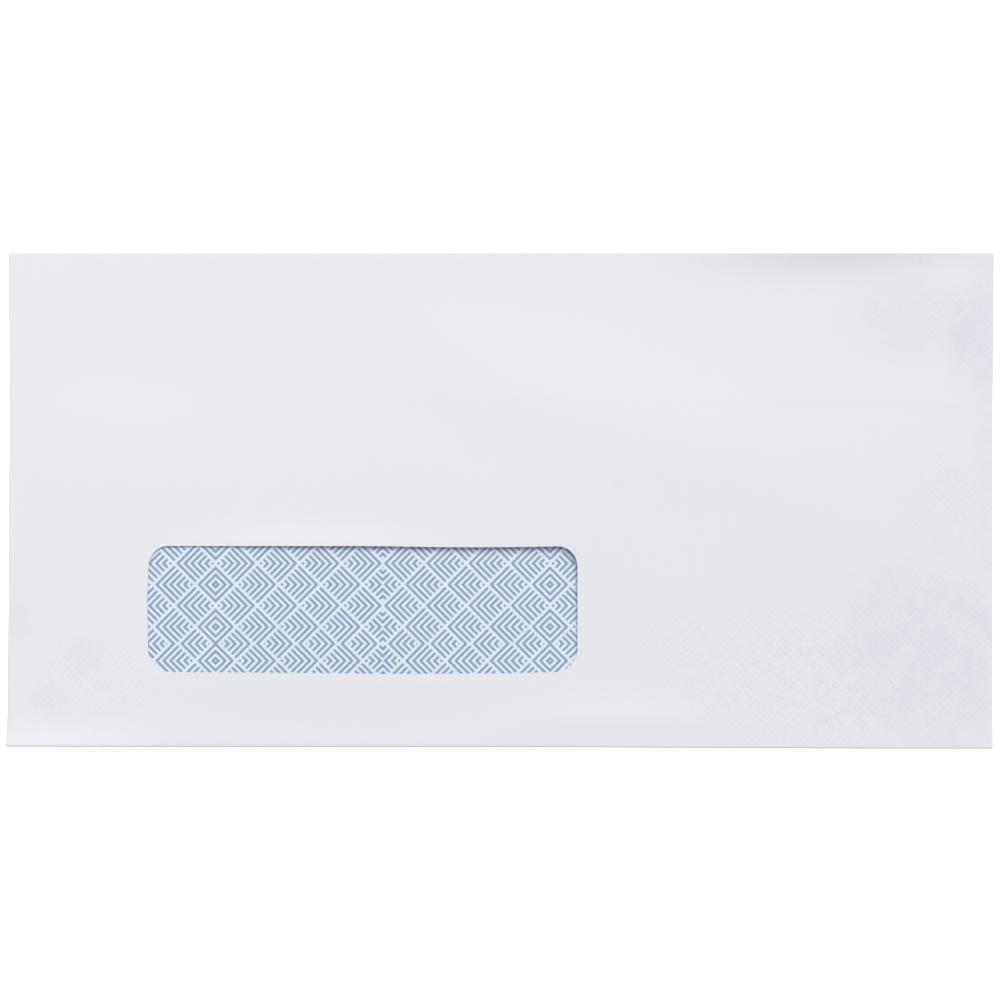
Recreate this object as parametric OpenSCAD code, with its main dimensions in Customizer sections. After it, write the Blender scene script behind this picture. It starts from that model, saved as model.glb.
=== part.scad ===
// Paper window envelope, lying face up with its closing flap folded behind it and not stuck down.
// +X runs along the long edge, +Y up the front as it is read, and +Z out of the front.
// The origin is on the surface that the envelope lies on, below the middle of the front.
//
// The envelope is one die-cut sheet. From the surface up, its layers are the closing flap, the back
// panel, the two side flaps that the back panel is stuck to, the pocket, and the front panel.

/* [Envelope] */
// Length of the envelope, along its closing flap's fold
envelope_l = 220; // [180:1:330]
// Height of the envelope, from the bottom fold to the closing flap's fold
envelope_h = 110; // [100:1:240]
// Thickness of the paper
paper_t = 0.12; // [0.08:0.01:0.2]
// How far the front panel stands off the back panel inside the pocket
pocket_gap = 1; // [0.6:0.05:2]

/* [Window] */
// Length of the window
window_l = 96.6; // [60:0.2:120]
// Height of the window
window_h = 28.4; // [20:0.2:45]
// Radius of the window's corners
window_r = 5.6; // [2:0.2:9]
// Distance from the left side fold to the window
window_left = 31; // [26:0.5:50]
// Distance from the bottom fold to the window
window_bottom = 16.6; // [10:0.2:40]
// How far the clear patch reaches past the window, where it is stuck down
film_lap = 5.5; // [3:0.5:8]
// Thickness of the clear patch
film_t = 0.04; // [0.02:0.01:0.08]

/* [Back panel] */
// How far the back panel stops short of each side fold
back_inset = 1; // [0.8:0.1:3]
// Distance from the closing flap's fold down to the back panel's open edge
throat_depth = 16; // [12:0.5:22]
// Radius of the back panel's two free corners
back_corner_r = 9; // [3:0.5:14]

/* [Side flaps] */
// Width of the side flaps, from the side fold inwards
side_flap_w = 17; // [12:0.5:22]
// How far the side flaps stop short of the top and bottom folds
side_flap_inset = 1; // [0.8:0.1:3]
// How much a side flap's end is cut away at the bottom, across its width
side_cut_bottom = 4; // [1:0.5:8]
// How much a side flap's end is cut away at the throat, across its width
side_cut_top = 9; // [2:0.5:12]

/* [Closing flap] */
// Depth of the closing flap, from its fold to its free edge
flap_depth = 33.4; // [26:0.2:45]
// How far the closing flap is set in from each side fold, at its own fold
flap_inset = 1; // [0.8:0.1:3]
// How much further each end of the flap is set in at its free edge
flap_taper = 3; // [1:0.5:6]
// Radius of the closing flap's two free corners
flap_corner_r = 9; // [4:0.5:14]
// Air between the closing flap and the back panel
flap_gap = 0.05; // [0.03:0.01:0.2]

/* [Security print] */
// Corner to corner size of one printed diamond
diamond = 9.46; // [6:0.02:14]
// Number of nested chevrons printed in one diamond
chevrons = 5; // [3:1:5]
// Width of a printed line
print_line = 0.54; // [0.3:0.02:0.7]
// Distance between the printed lines' middles
print_pitch = 1.1; // [0.9:0.01:1.2]
// Size of the printed speck in the corner that the chevrons open from
print_speck = 0.46; // [0.2:0.02:0.6]
// How far the speck and the chevrons' arms stop short of the diamond's sides
print_gap = 0.14; // [0.1:0.02:0.4]
// White border between the largest chevron and the diamond's other two sides
print_border = 0.54; // [0.3:0.01:0.9]
// Distance between the lines that the print is mirrored about
print_mirror = 37.45; // [30:0.05:60]
// Distance from the left side fold to the first mirror line that the whole diamonds lie on
print_mirror_left = 46.3; // [30:0.1:60]
// How far the diamonds are spread apart at that line
print_spread = 0.14; // [0:0.02:1]
// Height above the bottom fold at which one repeat of the print ends and the next begins
print_joint = 23.1; // [10:0.1:40]
// Distance from that joint to the middle of the whole diamonds above it, and below it
print_first_row = 3.8; // [1:0.1:4.5]
// How far the modelled print reaches past the window
print_reach = 2; // [1:0.5:5]
// Thickness of the printed ink
print_t = 0.02; // [0.01:0.005:0.03]

/* [Hidden] */
$fn = 96;

// The layers, from the surface up
back_z = paper_t + flap_gap;
side_flap_z = back_z + paper_t;
front_z = side_flap_z + pocket_gap;
top_z = front_z + paper_t;

// Each fold wraps from the front panel to a different layer, so each has its own outside radius
top_fold_r = top_z / 2;
bottom_fold_r = (top_z - back_z) / 2;
side_fold_r = (top_z - side_flap_z) / 2;
// Below this height the corners are open, and above it neighbouring folds meet in a mitre
mitre_z = top_z - side_fold_r;

// The edges of the folded envelope, and of what is cut in it
side_x = envelope_l / 2;
top_y = envelope_h / 2;
bottom_y = -top_y;
throat_y = top_y - throat_depth;
flap_edge_y = top_y - flap_depth;
window_x0 = window_left - side_x;
window_y0 = bottom_y + window_bottom;

// The printed pattern's grid
half_diamond = diamond / 2;
cell = diamond / sqrt(2);
first_mirror_x = print_mirror_left - side_x;
joint_y = bottom_y + print_joint;
view_x0 = window_x0 - print_reach;
view_x1 = window_x0 + window_l + print_reach;
view_y0 = window_y0 - print_reach;
view_y1 = window_y0 + window_h + print_reach;

// Extrudes a (y, z) section along X, centred
module along_x(length) {
    rotate([90, 0, 90])
        linear_extrude(height = length, center = true)
            children();
}

// Extrudes an (x, z) section along Y, centred
module along_y(length) {
    rotate([90, 0, 0])
        linear_extrude(height = length, center = true)
            children();
}

// A solid as tall as the envelope over a plan outline
module column() {
    translate([0, 0, -paper_t])
        linear_extrude(height = top_z + 2 * paper_t)
            children();
}

// A rectangle from its two corners
module box_from(x0, y0, x1, y1) {
    translate([x0, y0])
        square([x1 - x0, y1 - y0]);
}

// The vector of length 1 from one point to another
function toward(from, to) = (to - from) / norm(to - from);

// A convex outline whose corners are rounded to the given radii. A radius of 0 leaves a corner sharp.
module rounded_outline(points, radii) {
    last = len(points) - 1;
    back = [for (i = [0:last]) toward(points[i], points[i == 0 ? last : i - 1])];
    ahead = [for (i = [0:last]) toward(points[i], points[i == last ? 0 : i + 1])];
    half_angle = [for (i = [0:last]) acos(back[i] * ahead[i]) / 2];
    polygon([
        for (i = [0:last])
            for (arm = radii[i] > 0 ? [back[i], ahead[i]] : [[0, 0]])
                points[i] + arm * radii[i] / tan(half_angle[i])
    ]);
    for (i = [0:last])
        if (radii[i] > 0)
            translate(points[i] + toward([0, 0], back[i] + ahead[i]) * radii[i] / sin(half_angle[i]))
                circle(radii[i]);
}

// The space under the front panel and its folds, as a section whose two ends are rounded.
// inner takes the paper's thickness off all round.
module roof_section(end_0, r_0, end_1, r_1, inner = 0) {
    intersection() {
        union() {
            box_from(end_0 + r_0, mitre_z, end_1 - r_1, top_z - inner);
            translate([end_0 + r_0, top_z - r_0])
                circle(r_0 - inner);
            translate([end_1 - r_1, top_z - r_1])
                mirror([1, 0])
                    circle(r_1 - inner);
        }
        box_from(end_0 + inner, mitre_z, end_1 - inner, top_z - inner);
    }
}

// The front panel's outside or inside form: rounded over at all four folds
module front_form(inner = 0) {
    intersection() {
        along_x(envelope_l)
            roof_section(bottom_y, bottom_fold_r, top_y, top_fold_r, inner);
        along_y(envelope_h)
            roof_section(-side_x, side_fold_r, side_x, side_fold_r, inner);
    }
}

// The lower part of a fold, as a section whose outermost point is at the origin and whose panel lies
// on its +X side. It runs from the mitre's height round to the layer below.
module fold_section(r) {
    intersection() {
        translate([r, top_z - r])
            difference() {
                circle(r);
                circle(r - paper_t);
            }
        box_from(0, top_z - 2 * r, r, mitre_z);
    }
}

// The window's outline
module window_outline() {
    rounded_outline(
        [[window_x0, window_y0], [window_x0 + window_l, window_y0],
         [window_x0 + window_l, window_y0 + window_h], [window_x0, window_y0 + window_h]],
        [window_r, window_r, window_r, window_r]
    );
}

// The front panel, with the upper half of each fold and the window cut in it
module front_panel() {
    difference() {
        front_form();
        front_form(inner = paper_t);
        column()
            window_outline();
    }
}

// The back panel, folded up behind the front at the bottom, with its open edge at the throat
module back_panel() {
    half_w = side_x - back_inset;
    intersection() {
        along_x(envelope_l) {
            translate([bottom_y, 0])
                fold_section(bottom_fold_r);
            box_from(bottom_y + bottom_fold_r, back_z, top_y, back_z + paper_t);
        }
        column()
            rounded_outline(
                [[-half_w, bottom_y - paper_t], [half_w, bottom_y - paper_t],
                 [half_w, throat_y], [-half_w, throat_y]],
                [0, 0, back_corner_r, back_corner_r]
            );
    }
}

// The right side flap, folded in and stuck to the back panel, with both ends cut at a slant
module side_flap() {
    flap_end_x = side_x - side_flap_w;
    low_y = bottom_y + side_flap_inset;
    high_y = top_y - side_flap_inset;
    intersection() {
        along_y(envelope_h) {
            translate([side_x, 0])
                mirror([1, 0])
                    fold_section(side_fold_r);
            box_from(flap_end_x, side_flap_z, side_x - side_fold_r, side_flap_z + paper_t);
        }
        column()
            polygon([
                [side_x + paper_t, low_y], [side_x - side_fold_r, low_y], [flap_end_x, low_y + side_cut_bottom],
                [flap_end_x, high_y - side_cut_top], [side_x - side_fold_r, high_y], [side_x + paper_t, high_y]
            ]);
    }
}

// The closing flap, folded down behind the back panel
module closing_flap() {
    half_w = side_x - flap_inset;
    edge_half_w = half_w - flap_taper;
    fold_y = top_y - top_fold_r;
    intersection() {
        along_x(envelope_l) {
            translate([top_y, 0])
                mirror([1, 0])
                    fold_section(top_fold_r);
            box_from(bottom_y, 0, fold_y, paper_t);
        }
        column()
            rounded_outline(
                [[-edge_half_w, flap_edge_y], [edge_half_w, flap_edge_y], [half_w, fold_y],
                 [half_w, top_y + paper_t], [-half_w, top_y + paper_t], [-half_w, fold_y]],
                [flap_corner_r, flap_corner_r, 0, 0, 0, 0]
            );
    }
}

// The folded blank, all one sheet of paper
module envelope_sheet() {
    color([0.93, 0.93, 0.95])
        union() {
            front_panel();
            back_panel();
            side_flap();
            mirror([1, 0, 0])
                side_flap();
            closing_flap();
        }
}

// The clear patch stuck behind the window
module window_film() {
    color([0.9, 0.94, 0.98, 0.35])
        translate([window_x0 - film_lap, window_y0 - film_lap, front_z - film_t])
            cube([window_l + 2 * film_lap, window_h + 2 * film_lap, film_t]);
}

// One printed chevron, in a diamond turned square with the corner that it opens from at the origin.
// reach is how far its outside goes along the diamond's sides.
module chevron(reach) {
    polygon([
        [print_gap, reach - print_line], [reach - print_line, reach - print_line],
        [reach - print_line, print_gap], [reach, print_gap],
        [reach, reach], [print_gap, reach]
    ]);
}

// One printed diamond, centred at the origin, with its nested chevrons pointing to +X
module printed_diamond() {
    translate([-half_diamond, 0])
        rotate(-45) {
            translate([print_gap, print_gap])
                square(print_speck);
            for (i = [0:chevrons - 1])
                chevron(cell - print_border - i * print_pitch);
        }
}

// A field of diamonds that starts at a mirror line, ends at the next one and fills y0 to y1.
// One row of diamonds has its first one on the mirror line at row_y.
module diamond_field(y0, y1, row_y) {
    columns = ceil((print_mirror - print_spread) / half_diamond);
    first_row = floor((y0 - row_y) / half_diamond);
    last_row = ceil((y1 - row_y) / half_diamond);
    intersection() {
        for (row = [first_row:last_row])
            for (col = [abs(row % 2):2:columns])
                translate([print_spread + col * half_diamond, row_y + row * half_diamond])
                    printed_diamond();
        box_from(0, y0, print_mirror, y1);
    }
}

// The print between two mirror lines, over both repeats of the pattern
module print_strip() {
    diamond_field(joint_y, view_y1, joint_y + print_first_row);
    diamond_field(view_y0, joint_y, joint_y - print_first_row);
}

// The blue pattern printed on the inside of the back panel, where the window shows it
module security_tint() {
    first = floor((view_x0 - first_mirror_x) / print_mirror);
    last = ceil((view_x1 - first_mirror_x) / print_mirror) - 1;
    color([0.55, 0.64, 0.77])
        translate([0, 0, side_flap_z])
            linear_extrude(height = print_t)
                intersection() {
                    for (strip = [first:last])
                        translate([first_mirror_x + (strip + abs(strip % 2)) * print_mirror, 0])
                            mirror([abs(strip % 2), 0])
                                print_strip();
                    box_from(view_x0, view_y0, view_x1, view_y1);
                }
}

envelope_sheet();
window_film();
security_tint();
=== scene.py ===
from collections import namedtuple
from math import cos, pi, radians, sin, sqrt

import bmesh
import bpy
from mathutils import Matrix, Vector


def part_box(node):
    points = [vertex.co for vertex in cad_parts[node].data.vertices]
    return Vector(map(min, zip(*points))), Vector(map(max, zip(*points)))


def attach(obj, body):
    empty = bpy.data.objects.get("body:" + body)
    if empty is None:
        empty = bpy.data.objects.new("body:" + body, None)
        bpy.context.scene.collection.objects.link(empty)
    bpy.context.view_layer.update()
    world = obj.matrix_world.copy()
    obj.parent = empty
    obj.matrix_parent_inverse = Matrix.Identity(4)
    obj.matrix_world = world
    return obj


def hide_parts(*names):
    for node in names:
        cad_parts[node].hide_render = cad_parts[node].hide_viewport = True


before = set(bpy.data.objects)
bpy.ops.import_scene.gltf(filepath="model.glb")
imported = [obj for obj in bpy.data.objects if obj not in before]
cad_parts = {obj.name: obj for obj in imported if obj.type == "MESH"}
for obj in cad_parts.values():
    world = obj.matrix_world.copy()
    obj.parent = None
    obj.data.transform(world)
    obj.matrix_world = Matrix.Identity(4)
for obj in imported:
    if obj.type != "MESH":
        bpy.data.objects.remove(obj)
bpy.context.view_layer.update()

# A millimetre, in the metres that the frame is in
mm = 0.001

# The envelope's folded sizes, read from the frame
sheet_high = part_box("envelope_sheet")[1]
film_low, film_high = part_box("window_film")
back_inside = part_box("security_tint")[0].z
half_length = sheet_high.x
half_height = sheet_high.y
front_top = sheet_high.z
paper_thickness = front_top - film_high.z
film_thickness = film_high.z - film_low.z

# The window, and how far the clear patch reaches past it. Its upper corners are the sharper ones.
film_lap = 5.5 * mm
window_low = film_low.xy + Vector((film_lap, film_lap))
window_high = film_high.xy - Vector((film_lap, film_lap))
window_radius_low = 5.4 * mm
window_radius_high = 4.6 * mm

# The panels that are folded behind the front
back_inset = 1 * mm
throat_depth = 16 * mm
back_corner = 9 * mm
side_flap_width = 17 * mm
side_flap_inset = 1 * mm
side_cut_bottom = 4 * mm
side_cut_top = 9 * mm
flap_depth = 33.4 * mm
flap_inset = 1 * mm
flap_taper = 3 * mm
flap_corner = 9 * mm

# The security print, in millimetres as the blank's own map is: nested chevrons in diamonds, which
# are mirrored about upright lines and about the joint between two repeats
diamond = 9.46  # from corner to corner
print_line = 0.54  # the width of a line
print_pitch = 1.1  # between the middles of two lines
print_border = 0.54  # white beyond the largest chevron
print_gap = 0.14  # how far the chevrons' arms stop short of the diamond's sides
print_mirror = 37.45  # between two mirror lines
print_mirror_left = 46.3  # from the left side fold to a mirror line that whole diamonds lie on
print_spread = 0.14  # how far the diamonds are spread apart at that line
print_joint = 23.1  # the joint's height above the bottom fold
print_first_row = 3.8  # from the joint to the middle of the nearest whole diamonds
ink_bleed = 0.05  # how softly a line ends

# How the front lies: pressed low along its creases, and swelling freely from a reach inside them.
# All the paper below the dividing height is behind the front.
crease_top = 0.62 * mm
held_reach = 8 * mm
behind_front = 0.5 * mm

# The closing flap's free edge presses through the front as a low ridge with a small step in it. The
# step is sharper round one place on the right, and all of it fades before the side folds.
flap_line = half_height - flap_depth
flap_line_width = 1 * mm
flap_line_cuts = (-0.5, -0.25, 0, 0.25, 0.5)
flap_line_fade = 12 * mm
flap_step = 0.008 * mm
flap_step_fade = 20 * mm
sharp_step = 0.035 * mm
sharp_middle = 74 * mm
sharp_reach = 55 * mm
ridge_height = 0.02 * mm
ridge_above = 8 * mm
ridge_below = 14 * mm

# The waves that the front swells in: the middle, the long and the short reach, the turn in degrees
# and the height of each one, the lengths in millimetres
paper_waves = (
    # Over the middle, slanting down to the right above it, over the right end, and two at the left
    (12, 2, 75, 52, 0, 0.8),
    (20, 22, 80, 22, -18, 0.4),
    (76, 6, 45, 46, 0, 0.5),
    (-92, 0, 30, 40, 0, 0.3),
    (-80, 8, 34, 20, 0, 0.25),
    # Beside the flap's line, along the window's upper and lower edges, by the bottom crease and at
    # the upper right corner
    (-84, 19, 28, 9, 0, 0.15),
    (-40, -11, 46, 8, 0, 0.4),
    (-35, -38, 62, 14, 0, 0.4),
    (28, -51, 45, 9, 0, 0.3),
    (98, 50, 28, 20, 0, 0.4),
)

# Where the upper and the lower crease spring open: the middle and the reach along the crease in
# millimetres, and how much higher the crease stands there
top_spring = (79, 50, 1.6)
bottom_spring = (-104, 36, 0.9)
spring_reach = 7.5 * mm

# How far the real edges stray from square: the place along the edge and the shift, in millimetres
left_stray = (
    (-55, -0.47), (-44, -0.2), (-22, -0.02), (0, 0.05), (18, 0.26), (36, 0.15), (55, 0.02),
)
right_stray = ((-55, 0.37), (-44, 0.28), (18, 0.3), (36, 0.46), (55, 0.6))
top_stray = ((-110, 0.8), (110, 0.8))
bottom_stray = (
    (-110, 0.15), (-90, 0.1), (-60, 0), (10, 0), (45, -0.16), (90, -0.34), (110, -0.36),
)
stray_reach = 12 * mm
window_left_stray = ((-55, 0.24), (-32, 0.22), (-22, 0.05), (-12, 0.4), (55, 0.4))
window_right_stray = ((-55, -0.28), (55, -0.28))
window_bottom_stray = ((-78, 0.2), (-67, 0.12), (-45, 0), (-22, -0.2), (0, -0.1), (16, 0.18))
window_stray_reach = 7 * mm
window_sag = 0.28 * mm
window_sag_middle = -5.6 * mm
window_sag_reach = 26 * mm

# How finely the paper is scored, and the distance at which two places are one
grid_step = 2 * mm
fold_steps = 12
arc_cuts = 10
corner_segments = 10
touch = 0.001 * mm

# How finely the clear patch bends, and how far the glue holds it off the front
patch_columns = 54
patch_rows = 20
glue = 0.003 * mm

# Colours as they are seen, from 0 to 255
paper_white = (235, 235, 240)
print_and_shade_tint = (230, 229, 238)
inside_white = (229, 235, 246)
ink_blue = (148, 167, 195)
floor_white = (240, 240, 240)

# The paper's sheen and its fibres, which are laid in three directions through cloudy pulp
paper_roughness = 0.75
paper_gloss = 0.2
fibre_relief = 0.3
fibre_depth = 0.01 * mm
fibre_turns = (15, 72, 133)
fibre_stretch = (0.5, 3.5, 1)
pulp_scale = 0.22

# The clear film's gloss, and the slight ripple that it shows in
film_tint = (0.995, 0.997, 1, 1)
film_roughness = 0.08
film_ior = 1.3
ripple_scale = 45
ripple_height = 0.2 * mm
ripple_relief = 0.15

# Where the front lies so near the print behind it that the print's blue, and its lines, show
# through, and at the upper right end also painted shade in the same blue-grey: each place's middle
# and reaches in millimetres on the blank, and its share of the blue and of the lines. A share above
# 1 outweighs the noise that breaks it up.
print_and_shade_patches = (
    (97, -34, 36, 32, 1, 0.9),
    (72, -40, 46, 24, 0.35, 1),
    (103, 43, 16, 8, 0.5, 0.6),
    (94, 53, 4, 4, 0.4, 0.5),
    (48, -34, 30, 16, 0.1, 0.6),
    (110, 0, 7, 70, 0.6, 0.4),
    # Painted shade as well as print showing through: this place is made strong to darken the paper
    # at the upper right end, where the front is shaded darker
    (108, 37, 12, 17, 1.6, 0.7),
    (92, 40, 24, 14, 0.5, 0.4),
    (100, 0, 16, 20, 0.2, 0.5),
    (-93, -35, 7, 7, 0.5, 0.7),
    (-101, -44, 6, 6, 0.4, 0.7),
    (-108, -27, 5, 7, 0.5, 0.4),
    (-92, -40, 26, 16, 0, 0.6),
    (30, 0, 30, 16, 0, 0.25),
)
# The part of a place's reach that shows its whole share, and how strong the lines are at most
contact_full = 0.2
print_through = 0.085
# The noise's scale, the share that it leaves at its lowest, and the values that it rises between
contact_noise = (("Blue", 0.14, 0.55), ("Lines", 0.4, 0.1))
contact_noise_low = 0.35
contact_noise_high = 0.62

# The camera. The frame's width is what the picture takes in at the height of the front.
frame_width = 223.58 * mm
lens = 100
sensor = 36
view_shift = 0.3 * mm

# The floor, in metres from its middle, and how much it is lifted towards white where it is seen
floor_reach = 4
floor_lift = 0.62

# The light that comes from all round, and each lamp's direction, its distance and size in metres,
# the share of the plain light level that it gives, and its colour
world_share = 0.2
sky_colour = (0.98, 1.01, 1.28, 1)
seen_colour = (1, 1, 1, 1)
lamps = (
    ("key_lamp", (0.32, 0.69, 0.643), 6, 3.6, 0.655, (1, 0.99, 0.885)),
    ("fill_lamp", (-0.55, 0.25, 0.8), 1.25, 0.8, 0.165, (1, 1.01, 1.08)),
    ("low_lamp", (-0.1, -0.9, 0.36), 3, 1, 0.04, (1, 1, 1)),
    ("under_lamp", (0.3, 0.4, -1), 2, 3, 1.25, (1, 1, 0.93)),
)


# Camera

def make_camera():
    """Looks straight down on the front, from far enough away for the edges to stay square"""
    data = bpy.data.cameras.new("camera")
    data.lens = lens
    data.sensor_width = sensor
    camera = bpy.data.objects.new("camera", data)
    camera.location = (0, view_shift, front_top + frame_width * lens / sensor)
    bpy.context.scene.collection.objects.link(camera)
    bpy.context.scene.camera = camera


make_camera()


# The paper blank

Fold = namedtuple("Fold", "crease radius strip")


def fold_at(edge, outside_z):
    """A half turn that starts inside an edge and brings the paper's outside down to a height"""
    radius = (crease_top - outside_z) / 2
    return Fold(edge - radius, radius, 2 * radius * sin(pi / 2 / fold_steps))


def run(fold, strips=fold_steps):
    """The flat distance from the middle of the blank to the far side of a fold's strips"""
    return fold.crease + strips * fold.strip


side_fold = fold_at(half_length, back_inside)
top_fold = fold_at(half_height, 0)
bottom_fold = fold_at(half_height, back_inside - paper_thickness)

# Where each panel ends on the flat blank, measured out from the middle of the front
side_end = run(side_fold) + side_flap_width - side_fold.radius
flap_end = run(top_fold) + flap_depth - top_fold.radius
back_end = run(bottom_fold) + 2 * half_height - throat_depth - bottom_fold.radius
side_quarter = run(side_fold, fold_steps // 2)
top_quarter = run(top_fold, fold_steps // 2)
bottom_quarter = run(bottom_fold, fold_steps // 2)
back_side = half_length - back_inset
flap_side = half_length - flap_inset
side_flap_end = half_height - side_flap_inset

# Where the joint between two repeats of the print falls on the blank's map
joint_on_blank = (-bottom_fold.crease - run(bottom_fold) + half_height) / mm - print_joint


def in_front(x, y):
    return abs(x) < side_quarter and -bottom_quarter < y < top_quarter


def in_side_flap(x, y):
    return abs(x) > side_quarter and abs(y) < side_flap_end


def in_back(x, y):
    return y < -bottom_quarter and abs(x) < back_side


def in_closing_flap(x, y):
    return y > top_quarter and abs(x) < flap_side


def half_of(region, sign):
    """The half of a region that lies to one side of the middle"""
    return lambda x, y: region(x, y) and x * sign > 0


def centre(face):
    return face.calc_center_median().xy


def faces_where(bm, test):
    return [face for face in bm.faces if test(*centre(face))]


def score(bm, point, normal, faces=None):
    """Marks the paper with a straight line through a point, across some faces or all of them"""
    faces = bm.faces[:] if faces is None else faces
    edges = {edge for face in faces for edge in face.edges}
    verts = {vert for face in faces for vert in face.verts}
    bmesh.ops.bisect_plane(
        bm, geom=[*verts, *edges, *faces], dist=touch,
        plane_co=(*point, 0), plane_no=(*normal, 0),
    )


def take_away(bm, faces):
    bmesh.ops.delete(bm, geom=faces, context="FACES")


def trim(bm, start, end, region):
    """Cuts one region of the blank along the line through two points, and drops the outer side"""
    along = (end - start).normalized()
    outward = Vector((along.y, -along.x))
    if outward.dot(start) < 0:
        outward.negate()
    score(bm, start, outward, faces_where(bm, region))
    take_away(bm, [f for f in faces_where(bm, region) if (centre(f) - start).dot(outward) > 0])


def round_corner(bm, point, tangent):
    """Rounds the free corner at a point, from the given distance along both of its edges"""
    corner = min(bm.verts, key=lambda vert: (vert.co.xy - point).length)
    bmesh.ops.bevel(
        bm, geom=[corner], offset=tangent, offset_type="OFFSET", affect="VERTICES",
        segments=corner_segments, profile=0.5, material=-1,
    )


def cut_outline(bm):
    """Cuts the cross shape of the blank out of the sheet, with its slanted and rounded ends"""
    for x in (side_quarter, side_end, back_side):
        for sign in (-1, 1):
            score(bm, (sign * x, 0), (1, 0))
    for y in (-back_end, -bottom_quarter, -side_flap_end, side_flap_end, top_quarter, flap_end):
        score(bm, (0, y), (0, 1))
    score(bm, (0, 0), (1, 0))
    regions = (in_front, in_side_flap, in_back, in_closing_flap)
    take_away(bm, faces_where(bm, lambda x, y: not any(region(x, y) for region in regions)))
    for sign in (-1, 1):
        side_flap = half_of(in_side_flap, sign)
        for up, cut in ((1, side_cut_top), (-1, side_cut_bottom)):
            root = Vector((sign * run(side_fold), up * side_flap_end))
            tip = Vector((sign * side_end, up * (side_flap_end - cut)))
            trim(bm, root, tip, side_flap)
        flap_root = Vector((sign * flap_side, run(top_fold)))
        flap_tip = Vector((sign * (flap_side - flap_taper), flap_end))
        trim(bm, flap_root, flap_tip, half_of(in_closing_flap, sign))
        round_corner(bm, flap_tip, flap_corner)
        round_corner(bm, Vector((sign * back_side, -back_end)), back_corner)


def cut_window(bm):
    """Cuts the window: four straight sides, and a run of short cuts round each corner"""
    for radius in (0, window_radius_low, window_radius_high):
        for x in (window_low.x + radius, window_high.x - radius):
            score(bm, (x, 0), (1, 0), faces_where(bm, in_front))
    arc_low = window_low.y + window_radius_low
    arc_high = window_high.y - window_radius_high
    for y in (window_low.y, arc_low, arc_high, window_high.y):
        score(bm, (0, y), (0, 1), faces_where(bm, in_front))
    middle = (window_low + window_high) / 2
    half_size = (window_high - window_low) / 2
    arc = []
    for right in (-1, 1):
        for up, radius in ((-1, window_radius_low), (1, window_radius_high)):
            side = Vector((right, up))
            hub = middle + side * half_size - side * radius

            def in_corner(x, y):
                return 0 < (x - hub.x) * right < radius and 0 < (y - hub.y) * up < radius

            for cut in range(arc_cuts):
                angle = (cut + 0.5) / arc_cuts * pi / 2
                normal = Vector((right * cos(angle), up * sin(angle)))
                score(bm, hub + normal * radius, normal, faces_where(bm, in_corner))
                arc.append((hub, normal, radius))

    def in_window(x, y):
        within = window_low.x < x < window_high.x and window_low.y < y < window_high.y
        if not within:
            return False
        for hub, normal, radius in arc:
            offset = Vector((x, y)) - hub
            beyond = offset.x * normal.x > 0 and offset.y * normal.y > 0
            if beyond and offset.dot(normal) > radius:
                return False
        return True

    take_away(bm, faces_where(bm, in_window))


def score_grid(bm):
    """Scores the strips of each fold, and a grid that lets the flat panels swell"""
    for i in range(fold_steps + 1):
        for sign in (-1, 1):
            score(bm, (sign * run(side_fold, i), 0), (1, 0))
        score(bm, (0, run(top_fold, i)), (0, 1))
        score(bm, (0, -run(bottom_fold, i)), (0, 1))
    columns = int(side_fold.crease / grid_step)
    for column in range(-columns, columns + 1):
        score(bm, (column * grid_step, 0), (1, 0))
    for share in flap_line_cuts:
        score(bm, (0, flap_line + share * flap_line_width), (0, 1), faces_where(bm, in_front))
    low_rows = int(back_end / grid_step)
    high_rows = int(flap_end / grid_step)
    for row in range(-low_rows, high_rows + 1):
        y = row * grid_step
        in_bottom_fold = -run(bottom_fold) <= y <= -bottom_fold.crease
        in_top_fold = top_fold.crease <= y <= run(top_fold)
        if not (in_bottom_fold or in_top_fold):
            score(bm, (0, y), (0, 1))


def turn_over(bm, flat, fold, outward):
    """Rolls all the paper beyond a fold's crease round to the back, one strip at a time"""
    outward = Vector(outward)
    axis = outward.cross(Vector((0, 0, 1)))
    pivot = outward * fold.crease + Vector((0, 0, crease_top))
    heading = outward.copy()
    for i in range(fold_steps + 1):
        ends = i in (0, fold_steps)
        turn = Matrix.Rotation(-pi / fold_steps * (0.5 if ends else 1), 3, axis)
        reach = run(fold, i) + touch
        beyond = [v for v, place in flat.items() if place.dot(outward.xy) > reach]
        bmesh.ops.rotate(bm, verts=beyond, cent=pivot, matrix=turn)
        heading = turn @ heading
        pivot = pivot + heading * fold.strip


def hill(t, power=2):
    """A smooth hill: 1 in the middle, and 0 from a distance of 1 outwards"""
    return max(1 - t * t, 0) ** power


def ease(t):
    """Goes smoothly from 0 to 1"""
    t = min(max(t, 0), 1)
    return t * t * (3 - 2 * t)


def wave_height(x, y, wave):
    """How high one wave stands at a place, all in millimetres"""
    middle_x, middle_y, long_reach, short_reach, turn, height = wave
    offset = Matrix.Rotation(radians(-turn), 2) @ Vector((x - middle_x, y - middle_y))
    return height * hill(Vector((offset.x / long_reach, offset.y / short_reach)).length, 3)


def flap_mark(x, y):
    """The ridge and the step where the closing flap's edge presses through the front"""
    from_line = y - flap_line
    if from_line < 0:
        ridge = ridge_height * ease(1 + from_line / ridge_below)
    else:
        ridge = ridge_height * hill(from_line / ridge_above)
    step = flap_step + sharp_step * hill((x - sharp_middle) / sharp_reach)
    step *= ease(0.5 + from_line / flap_line_width) * ease((half_height - y) / flap_step_fade)
    return (ridge + step) * ease((side_fold.crease - abs(x)) / flap_line_fade)


def swell(x, y):
    """How far the front stands above its creases"""
    held = ease((side_fold.crease - abs(x)) / held_reach)
    held *= ease((top_fold.crease - y) / held_reach)
    held *= ease((y + bottom_fold.crease) / held_reach)
    waves = sum(wave_height(x / mm, y / mm, wave) for wave in paper_waves)
    return waves * mm * held + flap_mark(x, y)


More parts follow.
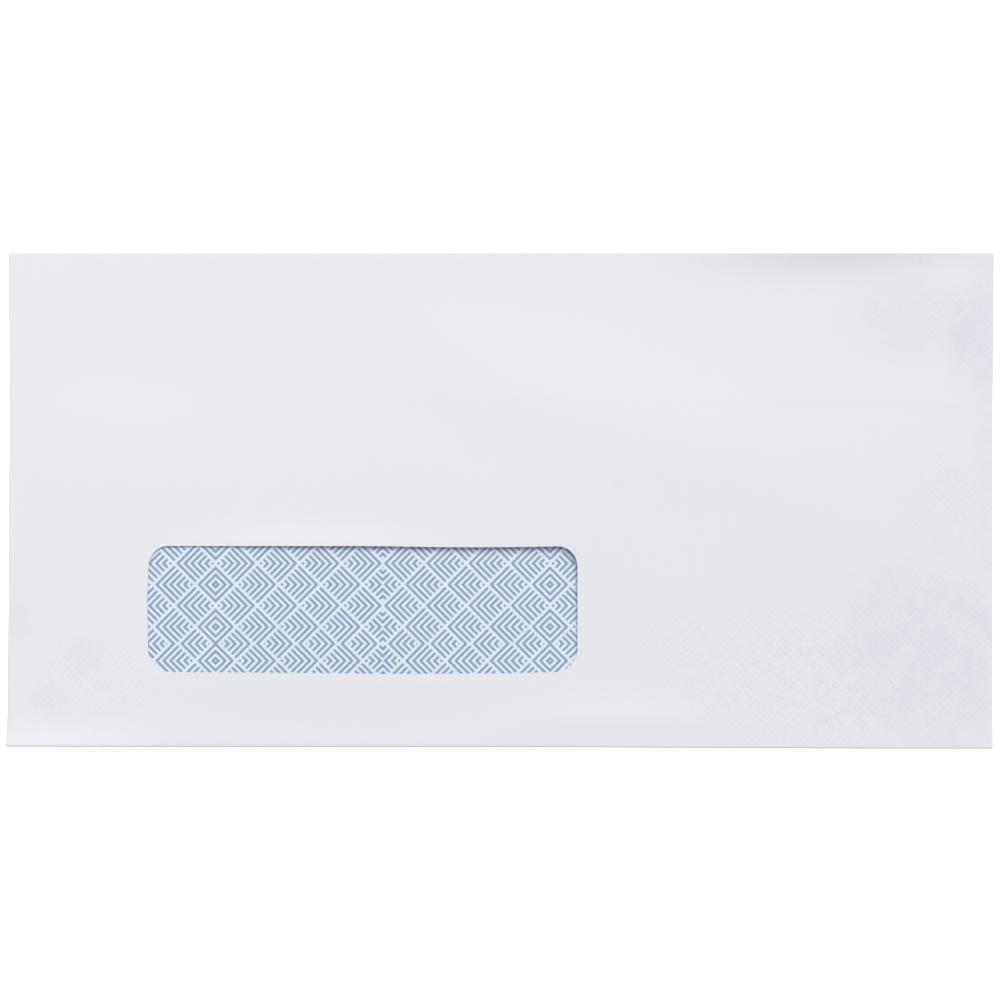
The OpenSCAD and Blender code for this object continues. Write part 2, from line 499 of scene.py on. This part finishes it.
def stray(place, points):
    """The shift of an edge at a place along it, between the points that are given"""
    place /= mm
    for (start, first), (end, last) in zip(points, points[1:]):
        if place <= end:
            return (first + (last - first) * ease((place - start) / (end - start))) * mm
    return points[-1][1] * mm


def let_stray(bm):
    """Draws the sheet's edges and the window's a little out of square"""
    for vert in bm.verts:
        x, y = vert.co.xy
        if vert.co.z > behind_front:
            left = ease(1 - abs(x - window_low.x) / window_stray_reach)
            right = ease(1 - abs(x - window_high.x) / window_stray_reach)
            above = ease(1 - abs(y - window_high.y) / window_stray_reach)
            below = ease(1 - abs(y - window_low.y) / window_stray_reach)
            vert.co.x += left * stray(y, window_left_stray) + right * stray(y, window_right_stray)
            vert.co.y -= above * window_sag * hill((x - window_sag_middle) / window_sag_reach)
            vert.co.y += below * stray(x, window_bottom_stray)
        near_side = ease(1 - (half_length - abs(x)) / stray_reach)
        near_end = ease(1 - (half_height - abs(y)) / stray_reach)
        vert.co.x += near_side * stray(y, left_stray if x < 0 else right_stray)
        vert.co.y += near_end * stray(x, bottom_stray if y < 0 else top_stray)


def spring_open(bm):
    """Lets the long creases stand higher where the folded paper springs open"""
    for vert in bm.verts:
        x, y = vert.co.xy
        middle, reach, rise = bottom_spring if y < 0 else top_spring
        near_crease = max(1 - (half_height - abs(y)) / spring_reach, 0)
        vert.co.z *= 1 + rise * near_crease ** 2 * hill((x / mm - middle) / reach)


def flat_sheet(width, height, middle, columns=1, rows=1):
    """A flat rectangle round a middle"""
    bm = bmesh.new()
    bmesh.ops.create_grid(bm, x_segments=columns, y_segments=rows, size=0.5)
    bmesh.ops.scale(bm, vec=(width, height, 1), verts=bm.verts)
    bmesh.ops.translate(bm, vec=(*middle, 0), verts=bm.verts)
    return bm


def smooth_sheet(bm):
    """Shades a sheet smooth, apart from its cut edges"""
    for face in bm.faces:
        face.smooth = True
    for edge in bm.edges:
        edge.smooth = not edge.is_boundary


def fold_envelope():
    """The die-cut sheet, scored, swelled and folded, as one mesh of its outside surface"""
    bm = flat_sheet(2 * side_end, back_end + flap_end, (0, (flap_end - back_end) / 2))
    cut_outline(bm)
    cut_window(bm)
    score_grid(bm)
    smooth_sheet(bm)
    flat = {vert: vert.co.xy.copy() for vert in bm.verts}
    blank_map = bm.loops.layers.uv.new("blank")
    for face in bm.faces:
        for loop in face.loops:
            loop[blank_map].uv = flat[loop.vert] / mm
    bmesh.ops.translate(bm, vec=(0, 0, crease_top), verts=bm.verts)
    for vert, place in flat.items():
        if abs(place.x) < side_fold.crease and -bottom_fold.crease < place.y < top_fold.crease:
            vert.co.z += swell(*place)
    for outward in ((1, 0, 0), (-1, 0, 0)):
        turn_over(bm, flat, side_fold, outward)
    turn_over(bm, flat, top_fold, (0, 1, 0))
    turn_over(bm, flat, bottom_fold, (0, -1, 0))
    spring_open(bm)
    let_stray(bm)
    return bm


def new_piece(name, bm):
    """Puts a mesh in the scene as a piece that sits at the origin"""
    mesh = bpy.data.meshes.new(name)
    bm.to_mesh(mesh)
    bm.free()
    piece = bpy.data.objects.new(name, mesh)
    bpy.context.scene.collection.objects.link(piece)
    return piece


envelope = new_piece("envelope_paper", fold_envelope())
wall = envelope.modifiers.new("thickness", "SOLIDIFY")
wall.thickness = paper_thickness
wall.offset = -1
wall.use_even_offset = True
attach(envelope, "root")
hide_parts("envelope_sheet")


# The clear patch

def make_patch():
    """The clear patch, stuck to the inside of the front, so it swells with it"""
    size = film_high - film_low
    middle = (film_low.xy + film_high.xy) / 2
    bm = flat_sheet(size.x, size.y, middle, patch_columns, patch_rows)
    for vert in bm.verts:
        vert.co.z = crease_top - paper_thickness - glue + swell(vert.co.x, vert.co.y)
    smooth_sheet(bm)
    return bm


patch = new_piece("window_patch", make_patch())
patch_wall = patch.modifiers.new("thickness", "SOLIDIFY")
patch_wall.thickness = film_thickness
patch_wall.offset = -1
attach(patch, "root")
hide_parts("window_film")


# Node tools

def add(tree, kind, inputs=None, **settings):
    """Adds a node with its settings, and puts a value or a link on each input that is named"""
    made = tree.nodes.new(kind)
    for name, value in settings.items():
        setattr(made, name, value)
    for key, value in (inputs or {}).items():
        if isinstance(value, bpy.types.NodeSocket):
            tree.links.new(value, made.inputs[key])
        else:
            made.inputs[key].default_value = value
    return made


def maths(tree, operation, *values):
    return add(tree, "ShaderNodeMath", dict(enumerate(values)), operation=operation).outputs[0]


def vector_maths(tree, operation, first, second=(0, 0, 0)):
    return add(tree, "ShaderNodeVectorMath", {0: first, 1: second}, operation=operation).outputs


def fade(tree, value, low, high, start=0, end=1):
    """Goes smoothly from start to end as the value goes from low to high"""
    inputs = {"Value": value, "From Min": low, "From Max": high, "To Min": start, "To Max": end}
    return add(tree, "ShaderNodeMapRange", inputs, interpolation_type="SMOOTHSTEP").outputs[0]


def tinted(tree, factor, first, second, blend="MIX"):
    """Mixes two colours, or multiplies the first by the second"""
    mix = add(tree, "ShaderNodeMix", data_type="RGBA", blend_type=blend)
    for key, value in (("Factor_Float", factor), ("A_Color", first), ("B_Color", second)):
        socket = next(s for s in mix.inputs if s.identifier == key)
        if isinstance(value, bpy.types.NodeSocket):
            tree.links.new(value, socket)
        else:
            socket.default_value = value
    return next(s for s in mix.outputs if s.identifier == "Result_Color")


def shade(red, green, blue):
    """A colour as it is seen, from 0 to 255, as the linear colour that a shader takes"""
    seen = [value / 255 for value in (red, green, blue)]
    return (*(v / 12.92 if v < 0.04045 else ((v + 0.055) / 1.055) ** 2.4 for v in seen), 1)


def new_group(name, inputs, outputs):
    """A shader node group, with the sockets to read from inside it and those to feed"""
    group = bpy.data.node_groups.new(name, "ShaderNodeTree")
    for side, sockets in (("INPUT", inputs), ("OUTPUT", outputs)):
        for label, kind in sockets:
            group.interface.new_socket(label, in_out=side, socket_type="NodeSocket" + kind)
    given = group.nodes.new("NodeGroupInput").outputs
    result = group.nodes.new("NodeGroupOutput").inputs
    return group, given, result


def use_group(tree, group, inputs):
    return add(tree, "ShaderNodeGroup", inputs, node_tree=group).outputs


def new_finish(name):
    """A material that uses nodes, with only its output node in it"""
    finish = bpy.data.materials.new(name)
    finish.use_nodes = True
    tree = finish.node_tree
    tree.nodes.clear()
    return finish, tree, add(tree, "ShaderNodeOutputMaterial").inputs["Surface"]


def seen_ray(tree):
    """1 on the rays that a thing is seen by, directly, mirrored or through film, and 0 on others"""
    path = add(tree, "ShaderNodeLightPath").outputs
    seen = maths(tree, "MAXIMUM", path["Is Camera Ray"], path["Is Glossy Ray"])
    return maths(tree, "MAXIMUM", seen, path["Is Transmission Ray"])


# Effects that several finishes share

def security_print_group():
    """How much ink there is at each place: nested chevrons in diamonds"""
    sockets = [("Place", "Vector")], [("Ink", "Float")]
    group, given, result = new_group("security_print", *sockets)
    place = add(group, "ShaderNodeSeparateXYZ", {0: given["Place"]}).outputs
    from_line = maths(group, "SUBTRACT", place["X"], print_mirror_left - half_length / mm)
    mirrored = maths(group, "PINGPONG", from_line, print_mirror)
    along = maths(group, "SUBTRACT", mirrored, print_spread)
    from_joint = maths(group, "ABSOLUTE", maths(group, "SUBTRACT", place["Y"], joint_on_blank))
    above = maths(group, "SUBTRACT", from_joint, print_first_row)
    cell = diamond / sqrt(2)
    sides = []
    for combine in ("ADD", "SUBTRACT"):
        slanted = maths(group, "DIVIDE", maths(group, combine, along, above), diamond)
        share = maths(group, "FRACT", maths(group, "ADD", slanted, 0.5))
        sides.append(maths(group, "MULTIPLY", share, cell))
    far, near = maths(group, "MAXIMUM", *sides), maths(group, "MINIMUM", *sides)
    outer_middle = cell - print_border - print_line / 2
    count = maths(group, "DIVIDE", maths(group, "SUBTRACT", outer_middle, far), print_pitch)
    past_line = maths(group, "SUBTRACT", count, maths(group, "ROUND", count))
    distance = maths(group, "MULTIPLY", maths(group, "ABSOLUTE", past_line), print_pitch)
    half_line = print_line / 2
    line = fade(group, distance, half_line - ink_bleed, half_line + ink_bleed, 1, 0)
    arm = fade(group, near, print_gap - ink_bleed, print_gap + ink_bleed)
    group.links.new(maths(group, "MULTIPLY", line, arm), result["Ink"])
    return group


def paper_grain_group():
    """The paper's fibres, laid in three directions, and the cloudy look of its pulp"""
    inputs = [("Place", "Vector"), ("Fibres", "Float"), ("Clouds", "Float")]
    outputs = [("Tone", "Float"), ("Height", "Float")]
    group, given, result = new_group("paper_grain", inputs, outputs)
    layers = []
    for degrees in fibre_turns:
        turned = add(group, "ShaderNodeMapping", {
            "Vector": given["Place"], "Rotation": (0, 0, radians(degrees)), "Scale": fibre_stretch,
        }).outputs[0]
        noise = {"Vector": turned, "Scale": 1, "Detail": 3, "Roughness": 0.6, "Distortion": 0.4}
        layers.append(add(group, "ShaderNodeTexNoise", noise, noise_dimensions="2D").outputs[0])
    laid = maths(group, "ADD", maths(group, "ADD", *layers[:2]), layers[2])
    fibres = maths(group, "DIVIDE", laid, len(fibre_turns))
    pulp = {"Vector": given["Place"], "Scale": pulp_scale, "Detail": 2, "Roughness": 0.5}
    clouds = add(group, "ShaderNodeTexNoise", pulp, noise_dimensions="2D").outputs[0]
    parts = [
        maths(group, "MULTIPLY", maths(group, "SUBTRACT", value, 0.5), given[amount])
        for value, amount in ((fibres, "Fibres"), (clouds, "Clouds"))
    ]
    group.links.new(maths(group, "ADD", maths(group, "ADD", *parts), 1), result["Tone"])
    group.links.new(fibres, result["Height"])
    return group


def print_and_shade_group():
    """How much of the blue, which is print showing through and at the upper right end also painted
    shade, and of the print's lines, shows through the front at each place
    """
    outputs = [("Blue", "Float"), ("Lines", "Float")]
    group, given, result = new_group("print_and_shade_contact", [("Place", "Vector")], outputs)
    blue, lines = 0, 0
    for x, y, reach_x, reach_y, blue_share, line_share in print_and_shade_patches:
        offset = vector_maths(group, "SUBTRACT", given["Place"], (x, y, 0))[0]
        scaled = vector_maths(group, "DIVIDE", offset, (reach_x, reach_y, 1))[0]
        length = vector_maths(group, "LENGTH", scaled)["Value"]
        near = fade(group, length, contact_full, 1, 1, 0)
        blue = maths(group, "MAXIMUM", blue, maths(group, "MULTIPLY", near, blue_share))
        lines = maths(group, "MAXIMUM", lines, maths(group, "MULTIPLY", near, line_share))
    for total, (name, scale, lowest) in zip((blue, lines), contact_noise):
        noise = {"Vector": given["Place"], "Scale": scale, "Detail": 3, "Roughness": 0.6}
        broken = add(group, "ShaderNodeTexNoise", noise, noise_dimensions="2D").outputs[0]
        left = fade(group, broken, contact_noise_low, contact_noise_high, lowest, 1)
        group.links.new(maths(group, "MULTIPLY", total, left), result[name])
    return group


security_print = security_print_group()
paper_grain = paper_grain_group()
print_and_shade_contact = print_and_shade_group()


# Finishes

def blank_place(tree):
    """The place on the flat blank, in millimetres"""
    return add(tree, "ShaderNodeUVMap", uv_map="blank").outputs[0]


def toned(tree, colour, tone):
    """A colour made lighter or darker by the grain"""
    grey = add(tree, "ShaderNodeCombineColor", {0: tone, 1: tone, 2: tone}).outputs[0]
    return tinted(tree, 1, colour, grey, "MULTIPLY")


def paper_shader(tree, surface, colour, grain):
    """Matte paper or ink, whose tone and relief come from the grain"""
    relief = {"Strength": fibre_relief, "Distance": fibre_depth, "Height": grain["Height"]}
    shader = add(tree, "ShaderNodeBsdfPrincipled", {
        "Base Color": toned(tree, colour, grain["Tone"]),
        "Roughness": paper_roughness,
        "Specular IOR Level": paper_gloss,
        "Normal": add(tree, "ShaderNodeBump", relief).outputs[0],
    })
    tree.links.new(shader.outputs[0], surface)


def outside_paper():
    """White paper, through which the print shows a little where it lies close, with painted shade
    in the print's blue-grey at the upper right end
    """
    finish, tree, surface = new_finish("white_paper_outside")
    place = blank_place(tree)
    grain = use_group(tree, paper_grain, {"Place": place, "Fibres": 0.045, "Clouds": 0.008})
    contact = use_group(tree, print_and_shade_contact, {"Place": place})
    ink = use_group(tree, security_print, {"Place": place})["Ink"]
    # The blue where the print shows through, which is also painted shade at the upper right end
    colour = tinted(tree, contact["Blue"], shade(*paper_white), shade(*print_and_shade_tint))
    lines = maths(tree, "MULTIPLY", maths(tree, "MULTIPLY", contact["Lines"], ink), print_through)
    colour = tinted(tree, lines, colour, shade(*ink_blue))
    paper_shader(tree, surface, colour, grain)
    return finish


def printed_inside():
    """The sheet's inside, printed all over so that what it holds can't be read"""
    finish, tree, surface = new_finish("security_printed_inside")
    place = blank_place(tree)
    grain = use_group(tree, paper_grain, {"Place": place, "Fibres": 0.06, "Clouds": 0.03})
    ink = use_group(tree, security_print, {"Place": place})["Ink"]
    colour = tinted(tree, ink, shade(*inside_white), shade(*ink_blue))
    paper_shader(tree, surface, colour, grain)
    return finish


def cut_edge():
    """The sheet's cut edge, where the fibres show more"""
    finish, tree, surface = new_finish("cut_paper_edge")
    place = blank_place(tree)
    grain = use_group(tree, paper_grain, {"Place": place, "Fibres": 0.1, "Clouds": 0.03})
    paper_shader(tree, surface, shade(*paper_white), grain)
    return finish


def tint_ink():
    """The printed lines: matte ink that lets the paper's fibres show a little"""
    finish, tree, surface = new_finish("blue_security_ink")
    metres = add(tree, "ShaderNodeTexCoord").outputs["Object"]
    place = vector_maths(tree, "DIVIDE", metres, (mm, mm, mm))[0]
    grain = use_group(tree, paper_grain, {"Place": place, "Fibres": 0.16, "Clouds": 0.06})
    paper_shader(tree, surface, shade(*ink_blue), grain)
    return finish


def clear_film():
    """Thin clear film: it lets the print through and adds the gloss that its angle gives"""
    finish, tree, surface = new_finish("clear_window_film")
    place = add(tree, "ShaderNodeTexCoord").outputs["Object"]
    ripple = {"Vector": place, "Scale": ripple_scale, "Detail": 1, "Roughness": 0.4}
    height = add(tree, "ShaderNodeTexNoise", ripple, noise_dimensions="2D").outputs[0]
    relief = {"Strength": ripple_relief, "Distance": ripple_height, "Height": height}
    normal = add(tree, "ShaderNodeBump", relief).outputs[0]
    shine = {"Color": (1, 1, 1, 1), "Roughness": film_roughness, "Normal": normal}
    gloss = add(tree, "ShaderNodeBsdfGlossy", shine).outputs[0]
    open_film = add(tree, "ShaderNodeBsdfTransparent", {"Color": film_tint}).outputs[0]
    fresnel = add(tree, "ShaderNodeFresnel", {"IOR": film_ior, "Normal": normal}).outputs[0]
    shadow = add(tree, "ShaderNodeLightPath").outputs["Is Shadow Ray"]
    leaving = add(tree, "ShaderNodeNewGeometry").outputs["Backfacing"]
    glossy = maths(tree, "SUBTRACT", 1, maths(tree, "MAXIMUM", shadow, leaving))
    mirror = maths(tree, "MULTIPLY", fresnel, glossy)
    both = add(tree, "ShaderNodeMixShader", {0: mirror, 1: open_film, 2: gloss})
    tree.links.new(both.outputs[0], surface)
    return finish


for finish in (outside_paper(), printed_inside(), cut_edge()):
    envelope.data.materials.append(finish)
wall.material_offset = 1
wall.material_offset_rim = 2
patch.data.materials.append(clear_film())
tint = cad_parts["security_tint"]
tint.data.materials.clear()
tint.data.materials.append(tint_ink())


# Floor and light

def make_floor():
    """A plain white floor, only seen from above. The lamp below it lights what faces down."""
    bm = flat_sheet(2 * floor_reach, 2 * floor_reach, (0, 0))
    bmesh.ops.translate(bm, vec=(0, 0, -touch), verts=bm.verts)
    floor = new_piece("floor", bm)
    finish, tree, surface = new_finish("white_floor")
    seen = seen_ray(tree)
    white = add(tree, "ShaderNodeBsdfDiffuse", {"Color": shade(*floor_white)}).outputs[0]
    lifted = maths(tree, "MULTIPLY", seen, floor_lift)
    lift = add(tree, "ShaderNodeEmission", {"Strength": lifted}).outputs[0]
    lit = add(tree, "ShaderNodeAddShader", {0: white, 1: lift}).outputs[0]
    hidden = add(tree, "ShaderNodeBsdfTransparent").outputs[0]
    below = add(tree, "ShaderNodeNewGeometry").outputs["Backfacing"]
    solid = maths(tree, "MULTIPLY", seen, maths(tree, "SUBTRACT", 1, below))
    one_sided = add(tree, "ShaderNodeMixShader", {0: solid, 1: hidden, 2: lit})
    tree.links.new(one_sided.outputs[0], surface)
    floor.data.materials.append(finish)


def make_world():
    """White where it is seen, and even, weaker light on everything else"""
    world = bpy.data.worlds.new("studio")
    world.use_nodes = True
    tree = world.node_tree
    tree.nodes.clear()
    seen = seen_ray(tree)
    strength = fade(tree, seen, 0, 1, world_share, 1)
    colour = tinted(tree, seen, sky_colour, seen_colour)
    light = add(tree, "ShaderNodeBackground", {"Color": colour, "Strength": strength})
    tree.links.new(light.outputs[0], add(tree, "ShaderNodeOutputWorld").inputs["Surface"])
    bpy.context.scene.world = world


def make_lamp(name, direction, distance, size, share, colour):
    """A square soft lamp, aimed at the envelope, that gives a share of the plain light level"""
    toward = Vector(direction).normalized()
    data = bpy.data.lights.new(name, "AREA")
    data.size = size
    data.color = colour
    data.energy = share * (pi * distance) ** 2 / abs(toward.z)
    lamp = bpy.data.objects.new(name, data)
    lamp.location = toward * distance
    lamp.rotation_euler = toward.to_track_quat("Z", "Y").to_euler()
    bpy.context.scene.collection.objects.link(lamp)


make_floor()
make_world()
for lamp in lamps:
    make_lamp(*lamp)
bpy.context.scene.view_settings.view_transform = "Standard"
